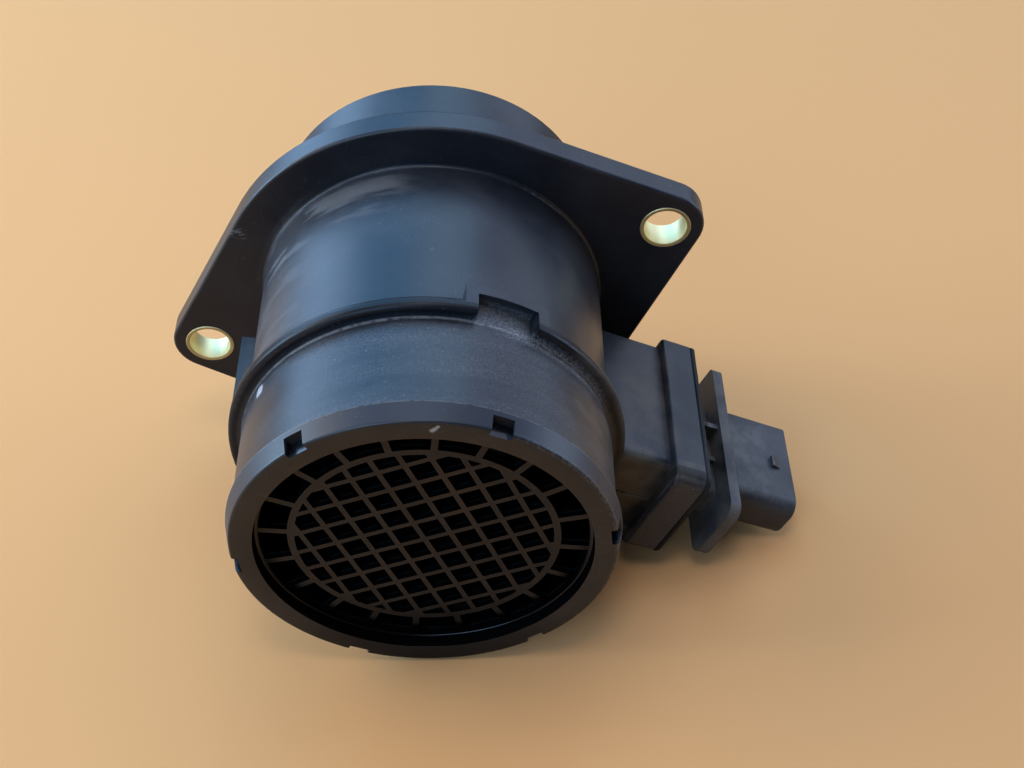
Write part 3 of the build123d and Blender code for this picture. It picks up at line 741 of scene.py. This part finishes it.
def turned(name, profile, spot, material):
    """A lathed ring at a place across the axis, in millimetres, as a finished piece."""
    mesh = lathe(name, profile, SLEEVE_STEPS)
    piece = bpy.data.objects.new(name, mesh)
    bpy.context.scene.collection.objects.link(piece)
    for vertex in mesh.vertices:
        along, across, up = vertex.co.x + spot[0], vertex.co.y + spot[1], vertex.co.z
        vertex.co = Vector((along * cos(ROLL) - across * sin(ROLL), -up,
                            along * sin(ROLL) + across * cos(ROLL))) * MM
    return coat(soften(piece), material)


for node, (distance, degrees_round) in EARS.items():
    spot = (distance * cos(radians(degrees_round)), distance * sin(radians(degrees_round)))
    sleeve = turned(node + "_sleeve", SLEEVE_PROFILE, spot, brass)
    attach(sleeve, "root")
    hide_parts(node)
print("sleeves:", len(EARS), "of brass,", SLEEVE_IN * 2, "mm inside")

# %% [markdown]
# ## What is inside
# Most of the module's works are hidden, but they are still there when the part is taken apart: two
# seals, the carrier with its board and chips, two lids, five tinned terminals and the glass bead that
# feels the air. A plain finish with a little noise suits pieces this small.

# %% Finishes of the small pieces
BOARD_PITCH = 0.0016             # metres from one printed track to the next


def small(name, dark, light, rough, metal=0.0, per_metre=1500, spread=0.1, glaze=0.0):
    """Two tones mixed by noise, with roughness that follows them."""
    p = Paint(name)
    cloud = p.noise(per_metre, 3, 0.6)
    return p.finish(Base_Color=p.mix(cloud.rise(0.3, 0.7), dark, light), Metallic=metal,
                    Roughness=(rough + cloud * spread).clamped(), Coat_Weight=glaze,
                    Normal=p.bump(cloud, TOOL_MARK, 0.3))


def stripes(distance, pitch):
    """Thin lines square to a distance, one at each pitch."""
    wave = distance.paint.node("ShaderNodeMath", {"operation": "PINGPONG"},
                               {0: distance, 1: pitch / 2})
    return wave.rise(pitch * 0.12, pitch * 0.08)


def board_surface():
    """White ceramic board with darker printed tracks, square to its edges."""
    p = Paint("board_ceramic")
    along, _, front = p.plug()
    track = stripes(along, BOARD_PITCH) + stripes(front, BOARD_PITCH * 1.7)
    broken = p.noise(420, 1, 0.5).rise(0.48, 0.52)
    return p.finish(Base_Color=p.mix(track.clamped() * broken, (0.62, 0.63, 0.60), (0.26, 0.25, 0.22)),
                    Roughness=(0.45 + p.noise(900) * 0.1).clamped())


# %% The small pieces wear them
rubber = small("seal_rubber", (0.010, 0.010, 0.011), (0.020, 0.020, 0.021), 0.62)
lid = small("cover_plastic", (0.020, 0.021, 0.023), (0.030, 0.031, 0.033), 0.50)
steel = small("carrier_metal", (0.42, 0.43, 0.44), (0.56, 0.57, 0.58), 0.30, metal=1.0, per_metre=700)
silicon = small("chip_silicon", (0.10, 0.11, 0.16), (0.16, 0.15, 0.20), 0.15, metal=0.6, per_metre=900)
resin = small("component_black", (0.012, 0.012, 0.013), (0.025, 0.025, 0.026), 0.55)
glass = small("bead_glass", (0.012, 0.030, 0.022), (0.020, 0.045, 0.032), 0.16,
              per_metre=800, spread=0.05, glaze=0.6)
tan = small("capacitor_tan", (0.34, 0.24, 0.15), (0.46, 0.34, 0.22), 0.48)
tin = small("terminal_tin", (0.62, 0.62, 0.60), (0.74, 0.74, 0.71), 0.24, metal=1.0, per_metre=1100)
finishes = {
    "flange_seal": rubber, "module_seal": rubber, "bypass_cover": lid, "electronics_cover": lid,
    "carrier_plate": steel, "circuit_board": board_surface(), "sensor_chip": silicon, "asic": resin,
    "thermistor": glass, "capacitor_1": tan, "capacitor_2": tan,
    **{f"terminal_{place}": tin for place in range(1, 6)}}
for node, material in finishes.items():
    coat(cad[node], material)
print("finished", len(finishes), "small pieces")

# %% [markdown]
# ## The floor and the light
# A plain pale sheet stands in for a table. The sensor leans on the barb of its cap and on its flange,
# so the sheet is pitched to the tube by the line through those two. The lamps stand round it as the
# windows and walls of a room do, because a satin black surface shows the lamps themselves: cool
# windows at the left, dimmer walls at the right, one warm wall between the windows and the viewer.

# %% Floor
CAP_FOOT = (-(END - SKIRT_LEN), -BARB_R)         # y and z of the two feet, millimetres
FLANGE_FOOT = (-FLANGE_T, -44.4)
FLOOR_HALF, FLOOR_GAP = 3.0, 0.0002              # metres
FLOOR_TONE = (0.65, 0.335, 0.135)


def make_floor():
    slope = (CAP_FOOT[1] - FLANGE_FOOT[1]) / (CAP_FOOT[0] - FLANGE_FOOT[0])
    touching = (cad["housing"], cad["module_body"], grille)
    lowest = min(v.co.z - slope * v.co.y for piece in touching for v in piece.data.vertices) - FLOOR_GAP
    mesh = bpy.data.meshes.new("floor")
    corners = [(x * FLOOR_HALF, y * FLOOR_HALF, lowest + slope * y * FLOOR_HALF)
               for x, y in ((-1, -1), (1, -1), (1, 1), (-1, 1))]
    mesh.from_pydata(corners, [], [(0, 1, 2, 3)])
    floor = bpy.data.objects.new("floor", mesh)
    bpy.context.scene.collection.objects.link(floor)
    coat(floor, Paint("floor").finish(Base_Color=FLOOR_TONE, Roughness=0.9, IOR=1.2))
    print("floor pitched by", round(slope, 4), "height", round(lowest, 5))


make_floor()

# %% Lamps and world
LAMPS = (  # name, degrees left of the far side, degrees up, width, height, brightness by colour
    ("window_low", 45, 15, 0.60, 0.40, (2.3, 3.9, 6.2)),
    ("window_high", 30, 42, 0.60, 0.42, (0.7, 2.0, 3.8)),
    ("window_left", 88, 16, 0.50, 0.40, (7.4, 11.0, 15.0)),
    ("wall_left", 80, 38, 0.50, 0.36, (4.2, 2.8, 1.2)),
    ("wall_far", -12, 42, 0.40, 0.42, (1.8, 2.9, 4.3)),
    ("wall_right", -38, 14, 0.55, 0.36, (1.1, 1.3, 1.7)),
    ("wall_right_high", -48, 42, 0.45, 0.42, (1.2, 1.3, 1.9)),
    ("wall_near_right", -78, 14, 0.50, 0.36, (3.7, 4.6, 6.2)),
    ("wall_near_left", 150, 35, 0.60, 0.50, (2.0, 3.2, 5.0)),
    ("room", 180, 75, 0.20, 0.20, (8.5, 8.8, 9.5)),
    ("ceiling_far", 0, 68, 0.45, 0.40, (1.0, 1.6, 2.4)),
    ("ceiling", 0, 88, 0.70, 0.70, (0.9, 0.7, 0.6)),
)
LAMP_FAR, AIM = 0.9, Vector((0, -0.03, 0))       # metres
SKY_TONE, SKY_STRENGTH = (0.7, 0.85, 1.0, 1), 0.04


def lamp(name, left_deg, up_deg, wide, high, brightness):
    """A flat lamp that faces the part and has the given brightness, whatever its size."""
    left, up, top = radians(left_deg), radians(up_deg), max(brightness)
    light = bpy.data.lights.new(name, "AREA")
    light.shape, light.size, light.size_y = "RECTANGLE", wide, high
    light.energy, light.color = top * pi * wide * high, [part / top for part in brightness]
    made = bpy.data.objects.new(name, light)
    bpy.context.scene.collection.objects.link(made)
    made.location = Vector((-sin(left) * cos(up), cos(left) * cos(up), sin(up))) * LAMP_FAR
    made.rotation_euler = (AIM - made.location).to_track_quat("-Z", "Y").to_euler()


for row in LAMPS:
    lamp(*row)
world = bpy.data.worlds.new("studio")
bpy.context.scene.world = world
world.use_nodes = True
sky = world.node_tree.nodes["Background"].inputs
sky["Color"].default_value = SKY_TONE
sky["Strength"].default_value = SKY_STRENGTH
bpy.context.scene.view_settings.view_transform = "Standard"
print("lamps:", len(LAMPS))

# %% [markdown]
